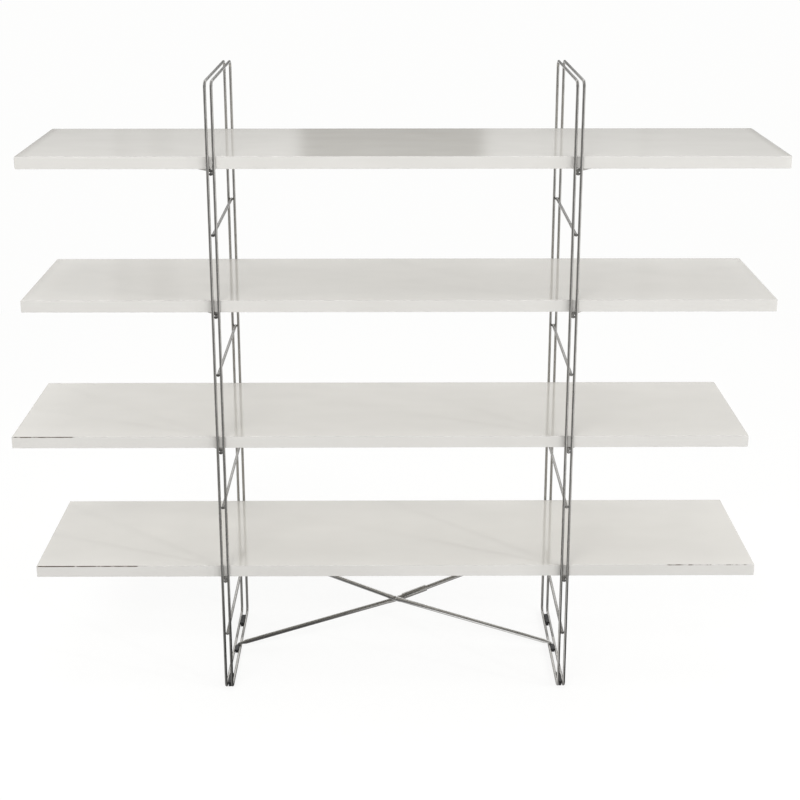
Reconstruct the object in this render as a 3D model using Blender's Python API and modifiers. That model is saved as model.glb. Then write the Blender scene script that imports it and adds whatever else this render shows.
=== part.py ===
"""Open wire-frame shelving unit.

Four long laminated boards pass through two ladder frames of doubled round wire. Each frame is a
pair of closed hoops with rungs between them, and a bowed wire on its outer side carries each
board. A pair of hooked rods crosses between the frames near the floor and keeps them upright.

Metres, +Z up. +X runs to the right along the boards and the front faces -Y. The origin lies on the
floor, under the middle of the unit's overall box.
"""

import math

import bmesh
import bpy
from mathutils import Vector

COLLECTION_NAME = "wire_shelving_unit"
CUTTER_COLLECTION_NAME = "cutters"

# Clearance between pieces that touch on the real unit.
TOUCH_GAP = 0.0003

# Boards: name and sideways position of the board's middle from the middle of the frames.
BOARDS = (
    ("shelf_bottom", 0.002),
    ("shelf_lower", -0.030),
    ("shelf_upper", 0.010),
    ("shelf_top", 0.018),
)
BOARD_LENGTH = 1.560
BOARD_DEPTH = 0.342
BOARD_THICKNESS = 0.025
BOARD_EDGE_RADIUS = 0.0008
BOARD_PITCH = 0.300
LOWEST_BOARD_TOP = 0.300

# Side frames: two hoops of round wire each.
FRAME_SPACING = 0.737
WIRE_RADIUS = 0.003
WIRE_PITCH = 0.013
HOOP_DEPTH = 0.350
HOOP_BOTTOM = 0.005
HOOP_TOP = 1.350
HOOP_CORNER_RADIUS = 0.014

# Rungs between the two hoops of a frame.
RUNG_RADIUS = 0.0032
RUNG_LENGTH = HOOP_DEPTH + 0.003
BAY_RUNG_BELOW_BOARD_TOP = 0.161

# Bowed wires that carry the boards on the outer side of each frame.
BOW_REACH = 0.045
BOW_TURN_Y = 0.170
BOW_START_RADIUS = 0.006
BOW_CORNER_RADIUS = 0.050

# Short pins and plastic feet between the two floor bars of a frame.
SPACER_LENGTH = 0.0064
SPACER_Y = {"front": -0.1190, "rear": 0.1500}
FOOT_LENGTH = 0.039
FOOT_Y = {"front": -0.1425, "rear": 0.1260}
STEM_HALF_WIDTH = 0.0031
CAP_HALF_WIDTH = 0.0046
CAP_RISE = 0.0034
CAP_THICKNESS = 0.0020

# Cross brace: two rods with a hook at each end, pinned where they cross.
BRACE_RADIUS = 0.0050
HOOK_RADIUS = 0.0028
HOOK_CLEARANCE = 0.0005
HOOK_REACH = WIRE_RADIUS + HOOK_CLEARANCE + HOOK_RADIUS
HOOK_TAPER_START = 0.009
HOOK_TAPER_END = 0.020
LOWER_HOOK_Y = 0.006
LOWER_HOOK_TIP = 0.0015
UPPER_HOOK_Z = 0.190
UPPER_HOOK_TIP = 0.1770
BRACE_CROSSING = Vector((0.0, 0.088, 0.083))
BRACE_CROSSING_BEND_RADIUS = 0.060
BRACE_HALF_SPACING = 0.00525
CLIP_LENGTH = 0.023
CLIP_LOWER_EDGE = 0.0024
LOWER_CLIP_TO_HOOK = 0.0007
UPPER_CLIP_TO_HOOK = 0.0030

# Rivet through both rods.
RIVET_PIN_RADIUS = 0.00175
RIVET_HOLE_RADIUS = 0.0021
RIVET_HEAD_RADIUS = 0.0042
RIVET_HEAD_HEIGHT = 0.0020

# Sleeve round one rod, just above the crossing.
SLEEVE_START = 0.020
SLEEVE_LENGTH = 0.060
SLEEVE_RADIUS = 0.0073
SLEEVE_BORE_RADIUS = 0.0056
SLEEVE_CHAMFER = 0.0006

ARC_STEP = math.radians(15)
SIDES = {"left": -1, "right": 1}


def clear_scene():
    for obj in list(bpy.data.objects):
        bpy.data.objects.remove(obj, do_unlink=True)


def make_collection(name):
    collection = bpy.data.collections.new(name)
    bpy.context.scene.collection.children.link(collection)
    return collection


def make_material(name, color, roughness, metallic):
    material = bpy.data.materials.new(name)
    material.use_nodes = True
    shader = material.node_tree.nodes["Principled BSDF"]
    shader.inputs["Base Color"].default_value = (*color, 1.0)
    shader.inputs["Roughness"].default_value = roughness
    shader.inputs["Metallic"].default_value = metallic
    return material


def make_materials():
    return {
        "laminate": make_material("white_laminate", (0.72, 0.71, 0.68), 0.12, 0.0),
        "wire": make_material("nickel_wire", (0.55, 0.54, 0.52), 0.22, 1.0),
        "brace": make_material("nickel_rod", (0.62, 0.61, 0.59), 0.18, 1.0),
        "rivet": make_material("plated_rivet", (0.50, 0.49, 0.47), 0.30, 1.0),
        "plastic": make_material("black_plastic", (0.02, 0.02, 0.02), 0.45, 0.0),
    }


def link_part(name, data, material, collection, parent, location=(0, 0, 0)):
    """A new object of the unit, placed in its parent's axes."""
    obj = bpy.data.objects.new(name, data)
    data.materials.append(material)
    collection.objects.link(obj)
    obj.parent = parent
    obj.location = location
    return obj


def make_empty(name, location, collection, parent=None):
    empty = bpy.data.objects.new(name, None)
    collection.objects.link(empty)
    empty.parent = parent
    empty.location = location
    return empty


def shade_round(mesh):
    mesh.shade_smooth()
    mesh.set_sharp_from_angle(angle=math.radians(40))


def corner_arc(before, corner, after, radius):
    """Points of the arc that rounds a corner of a path."""
    arriving = (corner - before).normalized()
    leaving = (after - corner).normalized()
    turn = arriving.angle(leaving)
    setback = radius * math.tan(turn / 2)
    start = corner - arriving * setback
    inward = (leaving - arriving * math.cos(turn)).normalized()
    centre = start + inward * radius
    steps = max(2, math.ceil(turn / ARC_STEP))
    points = []
    for step in range(steps + 1):
        angle = turn * step / steps
        spoke = arriving * math.sin(angle) - inward * math.cos(angle)
        points.append(centre + spoke * radius)
    return points


def rounded_path(corners, closed=False):
    """Points and wire radii along a path given as (corner, bend radius, wire radius)."""
    path = []
    count = len(corners)
    for index, (corner, bend, thickness) in enumerate(corners):
        is_end = not closed and index in (0, count - 1)
        if is_end or bend == 0:
            path.append((corner, thickness))
            continue
        before = corners[index - 1][0]
        after = corners[(index + 1) % count][0]
        path += [(point, thickness) for point in corner_arc(before, corner, after, bend)]
    return path


def wire_curve(name, corners, closed=False):
    """A round wire along a rounded path."""
    path = rounded_path(corners, closed)
    curve = bpy.data.curves.new(name, "CURVE")
    curve.dimensions = "3D"
    curve.bevel_depth = path[0][1]
    curve.bevel_resolution = 2
    curve.use_fill_caps = True
    spline = curve.splines.new("POLY")
    spline.points.add(len(path) - 1)
    spline.use_cyclic_u = closed
    spline.use_smooth = True
    for point, (place, thickness) in zip(spline.points, path):
        point.co = (*place, 1.0)
        point.radius = thickness / curve.bevel_depth
    return curve


def board_mesh(name):
    mesh = bpy.data.meshes.new(name)
    bm = bmesh.new()
    bmesh.ops.create_cube(bm, size=1.0)
    bmesh.ops.scale(bm, vec=(BOARD_LENGTH, BOARD_DEPTH, BOARD_THICKNESS), verts=bm.verts)
    bm.to_mesh(mesh)
    bm.free()
    return mesh


def board_top(level):
    return LOWEST_BOARD_TOP + BOARD_PITCH * level


def make_board(level, parts, material, unit):
    """One board with lightly rounded edges, its origin in its middle."""
    name, offset = BOARDS[level]
    place = (offset, 0.0, board_top(level) - BOARD_THICKNESS / 2)
    board = link_part(name, board_mesh(name), material, parts, unit, place)
    edges = board.modifiers.new("rounded_edges", "BEVEL")
    edges.width = BOARD_EDGE_RADIUS
    edges.segments = 3
    shade_round(board.data)


def make_hoop(name, x, parts, material, frame):
    """A closed rectangular hoop of wire that stands upright from front to back."""
    front, rear = -HOOP_DEPTH / 2, HOOP_DEPTH / 2
    outline = ((front, HOOP_BOTTOM), (front, HOOP_TOP), (rear, HOOP_TOP), (rear, HOOP_BOTTOM))
    corners = [(Vector((0.0, y, z)), HOOP_CORNER_RADIUS, WIRE_RADIUS) for y, z in outline]
    link_part(name, wire_curve(name, corners, closed=True), material, parts, frame, (x, 0, 0))


def make_straight_rod(name, middle, half_span, radius, parts, material, frame):
    """A straight round rod through its middle, from -half_span to +half_span."""
    ends = [(-half_span, 0.0, radius), (half_span, 0.0, radius)]
    link_part(name, wire_curve(name, ends), material, parts, frame, middle)


def support_wire_z(level):
    return board_top(level) - BOARD_THICKNESS - TOUCH_GAP - WIRE_RADIUS


def shelf_rung_z(level):
    return support_wire_z(level) - WIRE_RADIUS - TOUCH_GAP - RUNG_RADIUS


def make_support_wire(name, level, outward, parts, material, frame):
    """The bowed wire under a board: it leaves the front wire pair, bows outward and returns."""
    end = RUNG_LENGTH / 2
    bow_y = BOW_TURN_Y - BOW_REACH
    front = (
        (Vector((0.0, -end, 0.0)), 0, WIRE_RADIUS),
        (Vector((0.0, -BOW_TURN_Y, 0.0)), BOW_START_RADIUS, WIRE_RADIUS),
        (Vector((outward * BOW_REACH, -bow_y, 0.0)), BOW_CORNER_RADIUS, WIRE_RADIUS),
    )
    rear = [(Vector((p.x, -p.y, p.z)), bend, wire) for p, bend, wire in reversed(front)]
    curve = wire_curve(name, [*front, *rear])
    link_part(name, curve, material, parts, frame, (0, 0, support_wire_z(level)))


def clip_outline(lower_edge):
    """Half outline, from the bottom up, of a strip pressed between the two floor bars.

    x is across the pair and y is the height over the floor.
    """
    under_cap = HOOP_BOTTOM + CAP_RISE
    chamfer = CAP_THICKNESS / 2
    return [
        (STEM_HALF_WIDTH, lower_edge),
        (STEM_HALF_WIDTH, under_cap),
        (CAP_HALF_WIDTH, under_cap),
        (CAP_HALF_WIDTH, under_cap + chamfer),
        (CAP_HALF_WIDTH - chamfer, under_cap + CAP_THICKNESS),
    ]


def strip_curve(name, half_outline, length):
    """A flat closed outline, mirrored across x = 0 and extruded to the given length."""
    outline = [*half_outline, *((-x, y) for x, y in reversed(half_outline))]
    curve = bpy.data.curves.new(name, "CURVE")
    curve.dimensions = "2D"
    curve.fill_mode = "BOTH"
    curve.extrude = length / 2
    spline = curve.splines.new("POLY")
    spline.points.add(len(outline) - 1)
    spline.use_cyclic_u = True
    for point, (x, y) in zip(spline.points, outline):
        point.co = (x, y, 0.0, 1.0)
    return curve


def make_foot(name, y, parts, material, frame):
    """A plastic foot that reaches below the floor bars, with a cap over them."""
    curve = strip_curve(name, clip_outline(0.0), FOOT_LENGTH)
    foot = link_part(name, curve, material, parts, frame, (0, y, 0))
    foot.rotation_euler = (math.radians(90), 0, 0)


def make_clip_curve(name):
    return strip_curve(name, clip_outline(CLIP_LOWER_EDGE), CLIP_LENGTH)


def make_lower_clip(name, parts, material, frame):
    """A plastic stop between the floor bars, just in front of the brace's hook."""
    rear_face = LOWER_HOOK_Y - HOOK_RADIUS - LOWER_CLIP_TO_HOOK
    place = (0, rear_face - CLIP_LENGTH / 2, 0)
    clip = link_part(name, make_clip_curve(name), material, parts, frame, place)
    clip.rotation_euler = (math.radians(90), 0, 0)


def make_upper_clip(name, parts, material, frame):
    """A plastic stop between the rear wires, just below the brace's hook, cap to the front."""
    top = UPPER_HOOK_Z - HOOK_RADIUS - UPPER_CLIP_TO_HOOK
    place = (0, HOOP_DEPTH / 2 + HOOP_BOTTOM, top - CLIP_LENGTH / 2)
    clip = link_part(name, make_clip_curve(name), material, parts, frame, place)
    clip.rotation_euler = (0, 0, math.radians(180))


def make_frame(side, parts, materials, unit):
    """One ladder frame with its feet and stops, in the axes of an empty on the floor."""
    outward = SIDES[side]
    frame = make_empty(f"{side}_frame", (outward * FRAME_SPACING / 2, 0, 0), parts, unit)
    wire = materials["wire"]
    make_hoop(f"{side}_hoop_outer", outward * WIRE_PITCH / 2, parts, wire, frame)
    make_hoop(f"{side}_hoop_inner", -outward * WIRE_PITCH / 2, parts, wire, frame)
    along_y = Vector((0.0, RUNG_LENGTH / 2, 0.0))
    for level in range(len(BOARDS)):
        number = level + 1
        rungs = {"shelf": shelf_rung_z(level), "bay": board_top(level) - BAY_RUNG_BELOW_BOARD_TOP}
        for kind, z in rungs.items():
            name = f"{side}_{kind}_rung_{number}"
            make_straight_rod(name, (0, 0, z), along_y, RUNG_RADIUS, parts, wire, frame)
        make_support_wire(f"{side}_support_wire_{number}", level, outward, parts, wire, frame)
    across = Vector((SPACER_LENGTH / 2, 0.0, 0.0))
    for end in ("front", "rear"):
        place = (0, SPACER_Y[end], HOOP_BOTTOM)
        make_straight_rod(f"{side}_{end}_spacer", place, across, WIRE_RADIUS, parts, wire, frame)
        make_foot(f"{side}_{end}_foot", FOOT_Y[end], parts, materials["plastic"], frame)
    make_lower_clip(f"{side}_lower_brace_clip", parts, materials["plastic"], frame)
    make_upper_clip(f"{side}_upper_brace_clip", parts, materials["plastic"], frame)


def hooked_end(crossing, corner, tip):
    """The corners of half a brace rod, from its tip to the taper before the crossing."""
    inward = (crossing - corner).normalized()
    return [
        (tip, 0, HOOK_RADIUS),
        (corner, HOOK_REACH, HOOK_RADIUS),
        (corner + inward * HOOK_TAPER_START, 0, HOOK_RADIUS),
        (corner + inward * HOOK_TAPER_END, 0, BRACE_RADIUS),
    ]


def brace_corners(lower_side, front_offset):
    """The whole path of one rod: hook on a floor bar, bend at the crossing, hook on a rear leg."""
    x = (FRAME_SPACING - WIRE_PITCH) / 2 + HOOK_REACH
    crossing = BRACE_CROSSING + front_offset
    fall = math.atan2(crossing.z - HOOP_BOTTOM - HOOK_REACH, x)
    lower_z = HOOP_BOTTOM + HOOK_REACH * math.tan(math.radians(45) - fall / 2)
    back = math.atan2(HOOP_DEPTH / 2 - HOOK_REACH - crossing.y, x)
    upper_y = HOOP_DEPTH / 2 - HOOK_REACH * math.tan(math.radians(45) - back / 2)
    lower = Vector((lower_side * x, LOWER_HOOK_Y, lower_z))
    lower_tip = Vector((lower.x, LOWER_HOOK_Y, LOWER_HOOK_TIP))
    upper = Vector((-lower_side * x, upper_y, UPPER_HOOK_Z))
    upper_tip = Vector((upper.x, UPPER_HOOK_TIP, UPPER_HOOK_Z))
    return [
        *hooked_end(crossing, lower, lower_tip),
        (crossing, BRACE_CROSSING_BEND_RADIUS, BRACE_RADIUS),
        *reversed(hooked_end(crossing, upper, upper_tip)),
    ]


def brace_normal():
    """The direction, towards the front and up, that is square to both rods at the crossing."""
    rise = Vector((0.0, HOOP_DEPTH / 2 - LOWER_HOOK_Y, UPPER_HOOK_Z - HOOP_BOTTOM))
    return Vector((1.0, 0.0, 0.0)).cross(rise).normalized() * -1


def curve_to_mesh_object(obj, collection):
    """Replaces a curve object by a mesh object of the same shape, with its caps joined on."""
    bpy.context.view_layer.update()
    evaluated = obj.evaluated_get(bpy.context.evaluated_depsgraph_get())
    mesh = bpy.data.meshes.new_from_object(evaluated)
    bm = bmesh.new()
    bm.from_mesh(mesh)
    bmesh.ops.remove_doubles(bm, verts=bm.verts, dist=1e-6)
    bm.to_mesh(mesh)
    bm.free()
    name, parent, matrix = obj.name, obj.parent, obj.matrix_world.copy()
    bpy.data.objects.remove(obj, do_unlink=True)
    solid = bpy.data.objects.new(name, mesh)
    collection.objects.link(solid)
    solid.parent = parent
    solid.matrix_world = matrix
    return solid


def turned_to(direction):
    return direction.to_track_quat("Z", "Y")


def make_hole_cutter(place, direction, cutters, unit):
    bpy.ops.mesh.primitive_cylinder_add(
        vertices=16, radius=RIVET_HOLE_RADIUS, depth=8 * BRACE_RADIUS
    )
    cutter = bpy.context.object
    cutter.name = "rivet_hole_cutter"
    for collection in list(cutter.users_collection):
        collection.objects.unlink(cutter)
    cutters.objects.link(cutter)
    cutter.parent = unit
    cutter.location = place
    cutter.rotation_mode = "QUATERNION"
    cutter.rotation_quaternion = turned_to(direction)
    cutter.hide_render = True
    cutter.display_type = "WIRE"
    return cutter


def make_brace_rod(name, lower_side, offset, cutter, parts, material, unit):
    """One hooked rod of the cross brace, drilled for the rivet."""
    curve = wire_curve(name, brace_corners(lower_side, offset))
    rod = curve_to_mesh_object(link_part(name, curve, material, parts, unit), parts)
    hole = rod.modifiers.new("rivet_hole", "BOOLEAN")
    hole.operation = "DIFFERENCE"
    hole.object = cutter
    shade_round(rod.data)


def rivet_profile():
    """The rivet's outer side from the top of one head to the top of the other."""
    seat = BRACE_HALF_SPACING + BRACE_RADIUS + TOUCH_GAP
    head = []
    for step in range(5):
        angle = math.radians(90) * step / 4
        rise = RIVET_HEAD_HEIGHT * math.cos(angle)
        head.append((RIVET_HEAD_RADIUS * math.sin(angle), seat + rise))
    head.append((RIVET_PIN_RADIUS, seat))
    return [*head, *((x, -z) for x, z in reversed(head))]


def sleeve_profile():
    """The closed section of the sleeve's wall: down its outer side and up its bore."""
    half = SLEEVE_LENGTH / 2
    outer, chamfer = SLEEVE_RADIUS, SLEEVE_CHAMFER
    top = [(SLEEVE_BORE_RADIUS, half), (outer - chamfer, half), (outer, half - chamfer)]
    return [*top, *((x, -z) for x, z in reversed(top))]


def make_turned(name, profile, is_ring, place, direction, parts, material, unit):
    """A turned piece whose axis points along a direction."""
    mesh = bpy.data.meshes.new(name)
    edges = [(i, i + 1) for i in range(len(profile) - 1)]
    if is_ring:
        edges.append((len(profile) - 1, 0))
    mesh.from_pydata([(x, 0.0, z) for x, z in profile], edges, [])
    piece = link_part(name, mesh, material, parts, unit, place)
    piece.rotation_mode = "QUATERNION"
    piece.rotation_quaternion = turned_to(direction)
    turn = piece.modifiers.new("turned", "SCREW")
    turn.steps = 16
    turn.render_steps = 16
    turn.use_merge_vertices = True
    turn.merge_threshold = 0.00005
    turn.use_smooth_shade = True


def make_sleeve(offset, parts, material, unit):
    """The sleeve round the upper arm of the front rod, near the crossing."""
    upper = brace_corners(-1, offset)[-2][0]
    crossing = BRACE_CROSSING + offset
    along = (upper - crossing).normalized()
    place = crossing + along * (SLEEVE_START + SLEEVE_LENGTH / 2)
    make_turned("brace_sleeve", sleeve_profile(), True, place, along, parts, material, unit)


def make_brace(parts, cutters, materials, unit):
    """Two crossing rods, the rivet through them and a sleeve round one of them."""
    normal = brace_normal()
    offset = normal * BRACE_HALF_SPACING
    cutter = make_hole_cutter(BRACE_CROSSING, normal, cutters, unit)
    make_brace_rod("brace_rod_a", -1, offset, cutter, parts, materials["brace"], unit)
    make_brace_rod("brace_rod_b", 1, -offset, cutter, parts, materials["brace"], unit)
    rivet = rivet_profile()
    make_turned("brace_rivet", rivet, False, BRACE_CROSSING, normal, parts, materials["rivet"], unit)
    make_sleeve(offset, parts, materials["brace"], unit)


def main():
    clear_scene()
    parts = make_collection(COLLECTION_NAME)
    cutters = make_collection(CUTTER_COLLECTION_NAME)
    materials = make_materials()
    offsets = [offset for _, offset in BOARDS]
    box_middle = (max(offsets) + min(offsets)) / 2
    unit = make_empty("unit", (-box_middle, 0.0, 0.0), parts)
    for level in range(len(BOARDS)):
        make_board(level, parts, materials["laminate"], unit)
    for side in SIDES:
        make_frame(side, parts, materials, unit)
    make_brace(parts, cutters, materials, unit)


main()
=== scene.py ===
"""The finished looks of the open wire-frame shelving unit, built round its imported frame.

Every wire, rod, board, foot and rivet of the frame is drawn again here at full roundness, in the
same place and size, with its own surface: glossy white laminate with a few chipped edges, plated
drawn wire with weld beads where wires cross, and moulded black plastic.

Metres, +Z up, the front faces -Y.
"""

import math

import bmesh
import bpy
from mathutils import Matrix, Vector, noise


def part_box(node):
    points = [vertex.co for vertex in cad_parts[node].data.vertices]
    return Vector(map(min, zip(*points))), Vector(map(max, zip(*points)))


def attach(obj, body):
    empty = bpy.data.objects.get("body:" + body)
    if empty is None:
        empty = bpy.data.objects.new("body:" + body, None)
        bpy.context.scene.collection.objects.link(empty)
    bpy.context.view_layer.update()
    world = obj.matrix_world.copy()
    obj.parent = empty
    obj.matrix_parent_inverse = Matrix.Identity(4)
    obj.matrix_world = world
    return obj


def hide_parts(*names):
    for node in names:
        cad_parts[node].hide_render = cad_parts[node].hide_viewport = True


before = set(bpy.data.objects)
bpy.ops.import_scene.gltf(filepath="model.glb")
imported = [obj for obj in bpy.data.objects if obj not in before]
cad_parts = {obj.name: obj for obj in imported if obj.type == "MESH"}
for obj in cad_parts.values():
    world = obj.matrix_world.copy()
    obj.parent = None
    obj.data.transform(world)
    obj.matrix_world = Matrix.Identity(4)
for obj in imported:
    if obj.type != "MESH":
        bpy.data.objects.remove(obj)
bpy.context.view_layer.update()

SIDES = {"left": -1, "right": 1}
ENDS = ("front", "rear")
HOOPS = ("outer", "inner")
LEVELS = (1, 2, 3, 4)
BOARDS = ("bottom", "lower", "upper", "top")

# Wire work.
WIRE_SEGMENTS = 24
ARC_STEP = math.radians(6)
HOOP_CORNER_RADIUS = 0.014
CUT_CHAMFER = 0.0005
BUTT_WELD_Y = 0.040
BUTT_WELD_RISE = 0.00025
BUTT_WELD_HALF_LENGTH = 0.0012
BOW_TURN_Y = 0.170
BOW_REACH = 0.045
BOW_START_RADIUS = 0.006
BOW_CORNER_RADIUS = 0.050
BEAD_RADII = Vector((0.0010, 0.0021, 0.0024))
BEAD_ROUGHNESS = 0.00025
SPACER_STEPS = 6
SPACER_WAIST = 0.97
SPACER_FLARE = 0.22
SPACER_WIDEST = 1.15
SPACER_SHARE = 0.97
SHARP_ANGLE = math.radians(38)

# Boards.
BAND_THICKNESS = 0.0020
BAND_GROOVE = 0.00015
EDGE_RADIUS = 0.0004
EDGE_STEPS = 5
WORN_FACE_HEIGHT = 0.0014
STATION_STEP = 0.020
WORN_STATION_STEP = 0.0015
DEEPEST_CHIP = 0.0011
# Worn stretches of the front top edge: board, distance from the board's left end to the start and
# to the end of the stretch, and how badly it is worn.
WORN_EDGES = (
    ("shelf_lower", 0.002, 0.135, 0.55),
    ("shelf_bottom", 0.001, 0.085, 1.00),
    ("shelf_bottom", 0.085, 0.222, 0.60),
    ("shelf_bottom", 1.368, 1.412, 0.45),
    ("shelf_bottom", 1.412, 1.550, 0.22),
)

# Brace.
HOOK_RADIUS = 0.0028
HOOK_CLEARANCE = 0.0005
HOOK_TAPER_START = 0.009
HOOK_TAPER_END = 0.020
BRACE_RADIUS = 0.0050
BRACE_HALF_SPACING = 0.00525
BRACE_BEND_RADIUS = 0.060
PAD_HALF_LENGTH = 0.011
PAD_RUN_OUT = 0.008
PAD_THINNER = 0.86
PAD_WIDER = 1.12
PAD_STATIONS = (0.032, 0.028, 0.025, 0.022, 0.019, 0.016, 0.013, 0.010)
LONG_RUN = 0.05
RIVET_PIN_RADIUS = 0.0019
RIVET_HEAD_RADIUS = 0.0042
RIVET_HEAD_RIM = 0.0004
RIVET_HEAD_RISE = 0.0020
TURNED_SEGMENTS = 40
SLEEVE_START = 0.020
SLEEVE_LENGTH = 0.060
SLEEVE_RADIUS = 0.0073
SLEEVE_BORE_RADIUS = 0.0056
SLEEVE_ROLL = 0.0005

# Plastic.
MOULDED_EDGE = 0.00035
STEM = 0.0031
CAP_THICKNESS = 0.0020

# Camera and stage.
FOCAL_SHARE = 1.800
SENSOR_WIDTH = 36.0
CAMERA_PLACE = Vector((0.0010, -3.0180, 1.7300))
CAMERA_PITCH = math.radians(15.76)
CAMERA_YAW = math.radians(0.32)
CAMERA_SHIFT_Y = -0.1400
ROOM_GAIN = 1.4
BACKDROP = 0.985
# Lighter and darker upright strips of the rear wall, which the glossy boards reflect:
# place from left to right, and brightness.
UPRIGHTS = (
    (0.100, 0.96),
    (0.108, 1.00),
    (0.120, 1.00),
    (0.128, 0.80),
    (0.150, 0.93),
    (0.166, 0.93),
    (0.174, 0.80),
    (0.196, 0.82),
    (0.206, 0.96),
    (0.776, 0.96),
    (0.784, 1.00),
    (0.838, 1.00),
    (0.842, 0.80),
    (0.852, 0.96),
    (0.880, 1.00),
    (0.892, 0.96),
)
FLOOR_SIZE = 60.0
FLOOR_FADE_START = 0.9
FLOOR_FADE_END = 3.2


# ---------------------------------------------------------------- materials


def add_node(tree, kind, settings=(), values=()):
    """A shader node with its properties and input values set."""
    node = tree.nodes.new(kind)
    for name, value in dict(settings).items():
        setattr(node, name, value)
    for name, value in dict(values).items():
        node.inputs[name].default_value = value
    return node


def new_material(name):
    material = bpy.data.materials.new(name)
    material.use_nodes = True
    tree = material.node_tree
    return material, tree, tree.nodes["Principled BSDF"]


def place_texture(tree, kind, source, scale, settings=(), values=()):
    """A texture node fed with coordinates stretched by a scale along each axis."""
    mapping = add_node(tree, "ShaderNodeMapping", values={"Scale": scale})
    texture = add_node(tree, kind, settings, values)
    tree.links.new(source, mapping.inputs["Vector"])
    tree.links.new(mapping.outputs["Vector"], texture.inputs["Vector"])
    return texture


def ramp(tree, source, stops):
    """A colour ramp through (position, grey or colour) stops."""
    node = add_node(tree, "ShaderNodeValToRGB")
    elements = node.color_ramp.elements
    while len(elements) < len(stops):
        elements.new(0.5)
    for element, (position, color) in zip(elements, stops):
        element.position = position
        grey = isinstance(color, (int, float))
        element.color = (color, color, color, 1.0) if grey else (*color, 1.0)
    tree.links.new(source, node.inputs["Fac"])
    return node.outputs["Color"]


def mix_color(tree, factor, first, second, blend="MIX"):
    """A mix of two colours, either of them a socket or a plain colour."""
    node = add_node(tree, "ShaderNodeMix", {"data_type": "RGBA", "blend_type": blend})
    for socket, value in ((node.inputs[0], factor), (node.inputs[6], first), (node.inputs[7], second)):
        if isinstance(value, bpy.types.NodeSocket):
            tree.links.new(value, socket)
        elif isinstance(value, (int, float)):
            socket.default_value = value
        else:
            socket.default_value = (*value, 1.0)
    return node.outputs[2]


def math_node(tree, operation, first, second):
    node = add_node(tree, "ShaderNodeMath", {"operation": operation})
    for socket, value in zip(node.inputs, (first, second)):
        if isinstance(value, bpy.types.NodeSocket):
            tree.links.new(value, socket)
        else:
            socket.default_value = value
    return node.outputs[0]


def add_bump(tree, shader, height, distance, strength=1.0, below=None):
    """Bumps the shader's normal with a height, on top of another bump if there is one."""
    bump = add_node(tree, "ShaderNodeBump", values={"Strength": strength, "Distance": distance})
    tree.links.new(height, bump.inputs["Height"])
    if below is not None:
        tree.links.new(below, bump.inputs["Normal"])
    tree.links.new(bump.outputs["Normal"], shader.inputs["Normal"])
    return bump.outputs["Normal"]


def object_coordinates(tree):
    return add_node(tree, "ShaderNodeTexCoord").outputs["Object"]


def laminate_material(name, clean, shaded, roughness):
    """Glossy white melamine: faint clouding, wiping marks, fine scratches and chipped edges."""
    material, tree, shader = new_material(name)
    place = object_coordinates(tree)
    cloud = place_texture(tree, "ShaderNodeTexNoise", place, (1.6, 3.0, 3.0), values={"Detail": 1.0})
    tone = ramp(tree, cloud.outputs["Fac"], ((0.30, shaded), (0.70, clean)))
    speck = place_texture(tree, "ShaderNodeTexNoise", place, (420, 420, 420), values={"Detail": 1.0})
    specks = ramp(tree, speck.outputs["Fac"], ((0.74, 1.0), (0.78, 0.88)))
    tone = mix_color(tree, 1.0, tone, specks, "MULTIPLY")

    worn = add_node(tree, "ShaderNodeAttribute", {"attribute_name": "worn"}).outputs["Fac"]
    crumb = place_texture(tree, "ShaderNodeTexNoise", place, (700, 900, 900), values={"Detail": 4.0})
    core = ramp(tree, crumb.outputs["Fac"], ((0.35, (0.030, 0.022, 0.016)), (0.70, (0.16, 0.12, 0.085))))
    tree.links.new(mix_color(tree, worn, tone, core), shader.inputs["Base Color"])

    smear = place_texture(tree, "ShaderNodeTexNoise", place, (3.0, 6.0, 6.0), values={"Detail": 2.0})
    wiped = ramp(tree, smear.outputs["Fac"], ((0.30, roughness * 0.85), (0.72, roughness * 1.20)))
    hair = place_texture(
        tree, "ShaderNodeTexNoise", place, (9.0, 520.0, 9.0), values={"Detail": 2.0, "Distortion": 0.6}
    )
    hairlines = ramp(tree, hair.outputs["Fac"], ((0.72, 0.0), (0.76, 1.0)))
    matt = mix_color(tree, math_node(tree, "MULTIPLY", hairlines, 0.20), wiped, (0.36, 0.36, 0.36))
    tree.links.new(mix_color(tree, worn, matt, (0.85, 0.85, 0.85)), shader.inputs["Roughness"])

    peel = place_texture(tree, "ShaderNodeTexNoise", place, (260, 260, 260), values={"Detail": 1.0})
    below = add_bump(tree, shader, peel.outputs["Fac"], 0.00001, 0.20)
    crumbs = math_node(tree, "MULTIPLY", crumb.outputs["Fac"], worn)
    add_bump(tree, shader, crumbs, 0.0006, 0.8, below)
    shader.inputs["IOR"].default_value = 1.5
    shader.inputs["Coat Weight"].default_value = 0.25
    shader.inputs["Coat Roughness"].default_value = 0.06
    return material


def wire_coordinates(tree):
    """Around and along a wire, in metres, from the map that each wire carries."""
    return add_node(tree, "ShaderNodeUVMap", {"uv_map": "wire"}).outputs["UV"]


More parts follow.
